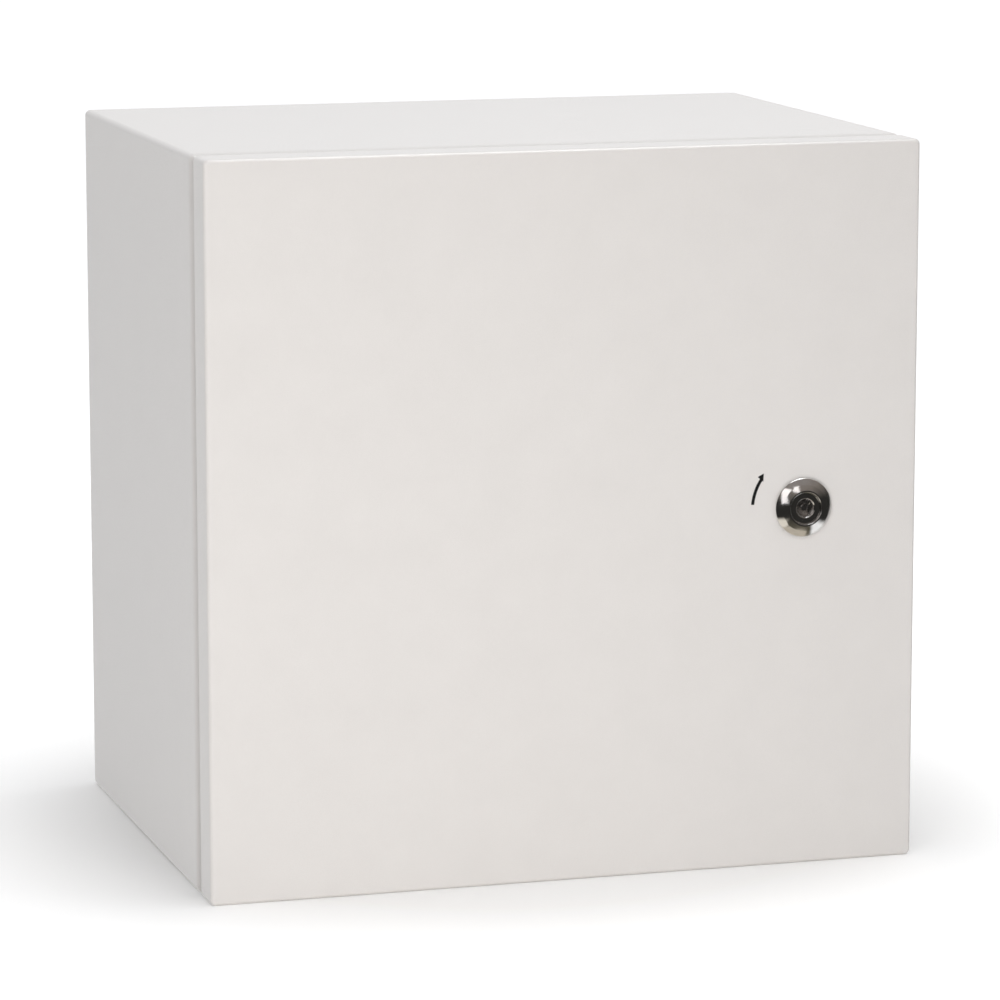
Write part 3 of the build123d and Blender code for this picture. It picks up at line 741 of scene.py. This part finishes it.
# %% Studs and nuts in their places
def corners_of(node, reach, seen="xz"):
    """Middles of four equal pieces that lie at the corners of a node's box, along the two axes seen."""
    low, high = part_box(node)
    first, second = ((getattr(low, axis) + reach, getattr(high, axis) - reach) for axis in seen)
    return [(a, b) for a in first for b in second]


def plated_piece(mesh, name, body, stands_for, crisp):
    """A piece of zinc-plated steel."""
    return make_piece(mesh, name, plated, body, stands_for, crisp)


def make_studs(name, body, node, thread, length, places, turn):
    """Threaded studs that take the place of a CAD node."""
    rods = spread(threaded_rod(thread.radius, length, thread.pitch), places, turn)
    plated_piece(rods, name, body, [node], crisp=30)


def make_nuts(name, body, node, thread, places, turn):
    """The nuts that fit a thread, in the place of a CAD node."""
    nut = bored(hexagon(thread.across, thread.thick), thread.thick, thread.radius + thread_gap)
    plated_piece(spread(nut, places, turn), name, body, [node], crisp=20)


print("stud and nut helpers ready")

# %% [markdown]
# The mounting plate hangs on four studs that are welded to the rear panel and point towards the door. Four
# linked copies would do as well, but one mesh stays one piece, as the node that it stands for.

# %% Mounting plate's studs and nuts
stud_low, stud_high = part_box("mounting_plate_studs")
nut_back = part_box("mounting_plate_nuts")[1].y
at = corners_of("mounting_plate_studs", M8.radius)
places = [(x, stud_high.y, z) for x, z in at]
make_studs("plate_studs", "enclosure", "mounting_plate_studs", M8, stud_high.y - stud_low.y, places, FRONT)
places = [(x, nut_back, z) for x, z in at]
make_nuts("plate_nuts", "enclosure", "mounting_plate_nuts", M8, places, FRONT)
print("mounting plate fixed at", [(round(x, 3), round(z, 3)) for x, z in at])

# %% [markdown]
# The gland plate closes the cut-out in the floor. Its studs stand up from the floor round the cut-out, so
# their corners are read from the frame as seen from above.

# %% Gland plate's studs and nuts
stud_low, stud_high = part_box("gland_plate_studs")
nut_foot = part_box("gland_plate_nuts")[0].z
at = corners_of("gland_plate_studs", M5.radius, "xy")
places = [(x, y, stud_low.z) for x, y in at]
make_studs("gland_studs", "enclosure", "gland_plate_studs", M5, stud_high.z - stud_low.z, places, LEVEL)
places = [(x, y, nut_foot) for x, y in at]
make_nuts("gland_nuts", "enclosure", "gland_plate_nuts", M5, places, LEVEL)
print("gland plate fixed at", [(round(x, 3), round(y, 3)) for x, y in at])

# %% [markdown]
# Door and body each have a stud for an earth wire. The body's points towards the door and the door's points
# back into the cabinet, so one loop makes both and only the turn differs.

# %% Earth points
for side, body_name, turn in (("body", "enclosure", FRONT), ("door", "door", REAR)):
    low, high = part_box(f"{side}_earth_stud")
    root = high.y if turn is FRONT else low.y
    places = [((low.x + high.x) / 2, root, (low.z + high.z) / 2)]
    make_studs(f"{side}_earth_rod", body_name, f"{side}_earth_stud", M8, high.y - low.y, places, turn)
    make_nuts(f"{side}_earth_hexagon", body_name, f"{side}_earth_nut", M8, places, turn)
    print(side, "earth point at", [round(c, 3) for c in places[0]])

# %% [markdown]
# One large flat nut on the barrel holds the lock in the door: it's a hexagon with a wide bore. Two screws
# hold each hinge bracket. Their heads look into the cabinet and their threads point towards the door, so the
# threads are turned the other way round.

# %% Lock nut and hinge screws
nut_low, nut_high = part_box("lock_nut")
nut_across, nut_thick = 27 * MM, nut_high.y - nut_low.y
nut = bored(hexagon(nut_across, nut_thick), nut_thick, barrel_radius + thread_gap, steps=48)
nut = spread(nut, [(lock_x, nut_low.y, lock_z)], REAR)
plated_piece(nut, "lock_hexagon", "door", ["lock_nut"], crisp=20)
screw_low, screw_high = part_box("hinge_bracket_screws")
head_thick, screw_from_middle = 3 * MM, 12 * MM
seat = screw_high.y - head_thick
places = []
for bracket in ("hinge_bracket_lower", "hinge_bracket_upper"):
    low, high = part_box(bracket)
    for way in (-1, 1):
        place_z = (low.z + high.z) / 2 + way * screw_from_middle
        places.append(((screw_low.x + screw_high.x) / 2, seat, place_z))
heads = spread(hexagon(M5.across, head_thick), places, REAR)
plated_piece(heads, "hinge_screw_heads", "enclosure", ["hinge_bracket_screws"], crisp=25)
thread = threaded_rod(M5.radius, seat - screw_low.y, M5.pitch)
threads = spread(thread, places, REAR @ Matrix.Rotation(math.pi, 4, "X"))
plated_piece(threads, "hinge_screw_threads", "enclosure", [], crisp=25)
print("hinge screws at", [round(z, 3) for _, _, z in places])

# %% [markdown]
# ## Turn arrow
# A short curved arrow is printed beside the lock: it says which way the key turns. A little edge is spun part
# of the way round the lock's axis for the shaft, and three points make the head.

# %% Turn arrow
arrow = bmesh.new()
arrow_out = door_face - 0.03 * MM
shaft_radius, stroke = 29.2 * MM, 1.8 * MM
start, sweep = math.radians(174.8), math.radians(-28.9)
head_points = ((-22.8, 19.7), (-26.3, 17.9), (-23.0, 15.1))  # millimetres from the lock's axis
ends = [
    arrow.verts.new((lock_x + r * math.cos(start), arrow_out, lock_z + r * math.sin(start)))
    for r in (shaft_radius - stroke / 2, shaft_radius + stroke / 2)
]
line = arrow.edges.new(ends)
bmesh.ops.spin(
    arrow, geom=ends + [line], cent=(lock_x, 0, lock_z), axis=(0, -1, 0), angle=sweep, steps=20,
    dvec=(0, 0, 0),
)
head = [arrow.verts.new((lock_x + x * MM, arrow_out, lock_z + z * MM)) for x, z in head_points]
bmesh.ops.contextual_create(arrow, geom=head)
arrow_print = make_piece(arrow, "turn_arrow", print_black, "door", crisp=60)
print("arrow", len(arrow_print.data.polygons), "faces")

# %% [markdown]
# ## Finishes for the frame's own pieces
# Plates, brackets, rails and the lock's cam are right as they come from CAD, so they only get their finish.

# %% Finishes for the frame's pieces
finishes = {
    "painted_steel": coat,
    "galvanised_steel": galvanised,
    "zinc_plated_steel": plated,
    "chrome": chrome,
    "foamed_seal": foam,
    "black_rubber": rubber,
}
for part in frame["record"]["subparts"]:
    data = frame["nodes"][part["node"]].data
    data.materials.clear()
    data.materials.append(finishes[part["material_slot"]])

# %% [markdown]
# ## Floor
# The floor is plain and pale, and it keeps the cabinet's shadow. To the camera it's lifted towards the white
# of a studio sweep, less under the cabinet and more away from it, so a soft shadow stays where it stands. A
# lamp could do that too, but it would also light the cabinet. The lift is only seen, and lights nothing.

# %% Floor
def ray_is(tree, *kinds):
    """1 for a ray of any of these kinds, 0 for any other."""
    rays = tree.nodes.new("ShaderNodeLightPath")
    answer = rays.outputs[kinds[0]]
    for kind in kinds[1:]:
        answer = calculate(tree, "ADD", answer, rays.outputs[kind], clamp=True)
    return answer


floor_mesh = bmesh.new()
bmesh.ops.create_grid(floor_mesh, x_segments=1, y_segments=1, size=30)
floor_data = bpy.data.meshes.new("floor")
floor_mesh.to_mesh(floor_data)
floor_mesh.free()
floor = bpy.data.objects.new("floor", floor_data)
floor.visible_glossy = False
scene.collection.objects.link(floor)
floor_finish, tree, shader, where = new_finish("studio_floor", Roughness=0.9, Specular_IOR_Level=0.0)
paper = ramp(tree, noise(tree, where, 3, 2.0), (0.3, (0.865, 0.855, 0.835)), (0.7, (0.885, 0.875, 0.855)))
tree.links.new(paper, shader.inputs["Base Color"])
shader.inputs["Emission Color"].default_value = (1, 1, 1, 1)
seen = ray_is(tree, "Is Camera Ray", "Is Glossy Ray", "Is Transmission Ray")
away = add_node(tree, "ShaderNodeVectorMath", [(0, where)], operation="LENGTH").outputs["Value"]
lifts = ((0.20, 0.12), (0.30, 0.32), (0.45, 0.50), (1.0, 0.62))  # metres from the middle, and how much
lift = ramp(tree, away, *((distance, (grey,) * 3) for distance, grey in lifts))
tree.links.new(calculate(tree, "MULTIPLY", seen, lift), shader.inputs["Emission Strength"])
floor_data.materials.append(floor_finish)
floor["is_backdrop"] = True
print("floor ready")

# %% [markdown]
# ## World
# The world does three jobs. Straight to the camera, or through glass, it's white. For plain light it's an
# even, slightly cool sky. To what mirrors it, it's a studio: white behind the cabinet, dark at eye level on
# the camera's side, a dim brown ceiling, and a table top that runs from cream on the left to white on the
# right. The chrome gets its dark and light bands from that, so the floor itself isn't mirrored.

# %% World
def over(tree, mask, under, top):
    """Lays a colour over what is under it, where the mask is 1."""
    made = add_node(tree, "ShaderNodeMix", [(0, mask), (6, under)], data_type="RGBA")
    made.inputs[7].default_value = (*top, 1)
    return made.outputs[2]


world = bpy.data.worlds.new("studio")
scene.world = world
world.use_nodes = True
sky = world.node_tree
sky.nodes.clear()
direction = sky.nodes.new("ShaderNodeTexCoord").outputs["Generated"]
split = add_node(sky, "ShaderNodeSeparateXYZ", [("Vector", direction)])
side, depth, rise = (split.outputs[axis] for axis in "XYZ")
dark = (0.025, 0.024, 0.022)
room = ramp(
    sky, between(sky, rise, 0, 1, -1, 1),
    (0.0, (0.15, 0.135, 0.10)), (0.26, dark), (0.56, dark), (0.78, (0.20, 0.175, 0.155)),
    (1.0, (0.28, 0.26, 0.25)),
)
low, lowest = between(sky, rise, 1, 0, -0.62, -0.5), between(sky, rise, 1, 0, -0.85, -0.81)
on_left, left_of_lock = between(sky, side, 1, 0, -0.38, -0.30), between(sky, side, 1, 0, 0.36, 0.42)
on_right, behind = between(sky, side, 0, 1, 0.48, 0.56), between(sky, depth, 0, 1, 0.3, 0.5)
room = over(sky, calculate(sky, "MULTIPLY", low, on_left), room, (0.80, 0.75, 0.66))
room = over(sky, calculate(sky, "MULTIPLY", lowest, left_of_lock), room, (0.52, 0.47, 0.39))
room = over(sky, calculate(sky, "MULTIPLY", low, on_right), room, (0.95, 0.95, 0.95))
room = over(sky, behind, room, (1.0, 1.0, 1.0))
even_light = add_node(sky, "ShaderNodeBackground", Color=(0.975, 0.995, 1.04, 1), Strength=0.51)
mirrored = add_node(sky, "ShaderNodeBackground", [("Color", room)], Strength=1.0)
white = add_node(sky, "ShaderNodeBackground", Color=(1, 1, 1, 1), Strength=1.0)
light = even_light.outputs[0]
for kinds, shown in ((["Is Glossy Ray"], mirrored), (["Is Camera Ray", "Is Transmission Ray"], white)):
    mixed = add_node(
        sky, "ShaderNodeMixShader", [(0, ray_is(sky, *kinds)), (1, light), (2, shown.outputs[0])]
    )
    light = mixed.outputs[0]
add_node(sky, "ShaderNodeOutputWorld", [("Surface", light)])
print("world ready")

# %% [markdown]
# ## Lamps
# Two soft boxes light the front from the left and from above, a low one lifts the door's foot, and a wide one
# over the cabinet lights its roof. The chrome would mirror the front boxes as blown-out patches, so they are
# hidden from mirrors, and two dimmer glows a little nearer are seen there instead. The light line along the
# door's upper fold comes from a strip that lights nothing and that only the painted pieces mirror, because
# on the lock it would make hard white dots.

# %% Lamps
def soft_lamp(name, place, aim, size, power, colour, mirrored=True, lights=True):
    """A rectangular lamp. It can be hidden from mirrors, or show in mirrors alone."""
    data = bpy.data.lights.new(name, "AREA")
    data.shape, data.energy, data.color = "RECTANGLE", power, colour
    data.size, data.size_y = size
    lamp = bpy.data.objects.new(name, data)
    lamp.location = place
    lamp.rotation_euler = (Vector(aim) - Vector(place)).to_track_quat("-Z", "Y").to_euler()
    lamp.visible_glossy, lamp.visible_diffuse = mirrored, lights
    scene.collection.objects.link(lamp)
    return lamp


lock_place = Vector((lock_x, door_face, lock_z))
to_left, to_front = Vector((-0.57, -0.74, 0.32)), Vector((-0.05, -0.76, 0.63))
box_far, glow_far, glow_shift = 1.25, 1.1, Vector((0.03, 0, 0.08))
pink = (1.0, 0.97, 0.97)
soft_lamp(
    "left box", lock_place + box_far * to_left, lock_place, size=(0.38, 0.75), power=1.6,
    colour=(1.0, 0.99, 0.985), mirrored=False,
)
soft_lamp(
    "front box", lock_place + box_far * to_front, lock_place, size=(0.30, 0.42), power=1.2,
    colour=(1.0, 0.98, 0.96), mirrored=False,
)
soft_lamp(
    "left glow", lock_place + glow_far * to_left + glow_shift, lock_place, size=(0.44, 0.78), power=1.15,
    colour=pink, lights=False,
)
soft_lamp(
    "front glow", lock_place + glow_far * to_front, lock_place, size=(0.27, 0.37), power=0.34,
    colour=pink, lights=False,
)
soft_lamp(
    "low fill", (-0.30, -1.15, 0.05), (-0.12, -0.15, 0.03), size=(0.5, 0.1), power=3.6,
    colour=(1.0, 0.985, 0.97), mirrored=False,
)
edge_strip = soft_lamp(
    "edge strip", (0.63, -0.75, 2.18), (0, -0.147, 0.4), size=(1.0, 0.35), power=18,
    colour=(1, 1, 1), lights=False,
)
soft_lamp(
    "top", (0.16, -0.02, 2.0), (0, 0, 0.3), size=(1.0, 1.0), power=12.5, colour=(0.98, 0.99, 1.01)
)
painted = bpy.data.collections.new("painted")
for piece in scene.objects:
    if any(slot.material == coat for slot in piece.material_slots):
        painted.objects.link(piece)
edge_strip.light_linking.receiver_collection = painted

# %% [markdown]
# ## Camera
# The camera stands left of the cabinet and a little above it, with a long lens. Its place and its turn come
# from the box's edges in the photo. A lens shift would fit them a little closer, but the cabinet would then
# slip out of the picture in other views, so there is none.

# %% Camera
camera_data = bpy.data.cameras.new("camera")
camera_data.lens, camera_data.sensor_width = 172.6, 36
tilt_down, turned_right = math.radians(9.898), math.radians(16.708)
camera = bpy.data.objects.new("camera", camera_data)
camera.location = (-0.7666, -2.5720, 0.6543)
camera.rotation_euler = (math.pi / 2 - tilt_down, 0, -turned_right)
scene.collection.objects.link(camera)
scene.camera = camera
scene.view_settings.view_transform = "Standard"
print("camera ready, lens", camera_data.lens)

# %% [markdown]
# ## Sizes again
# The dressed cabinet has to stay within the frame's box, so its own box is printed here.

# %% Print the visual box
low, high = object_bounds()
print("visual box", [round(c, 4) for c in low], [round(c, 4) for c in high])
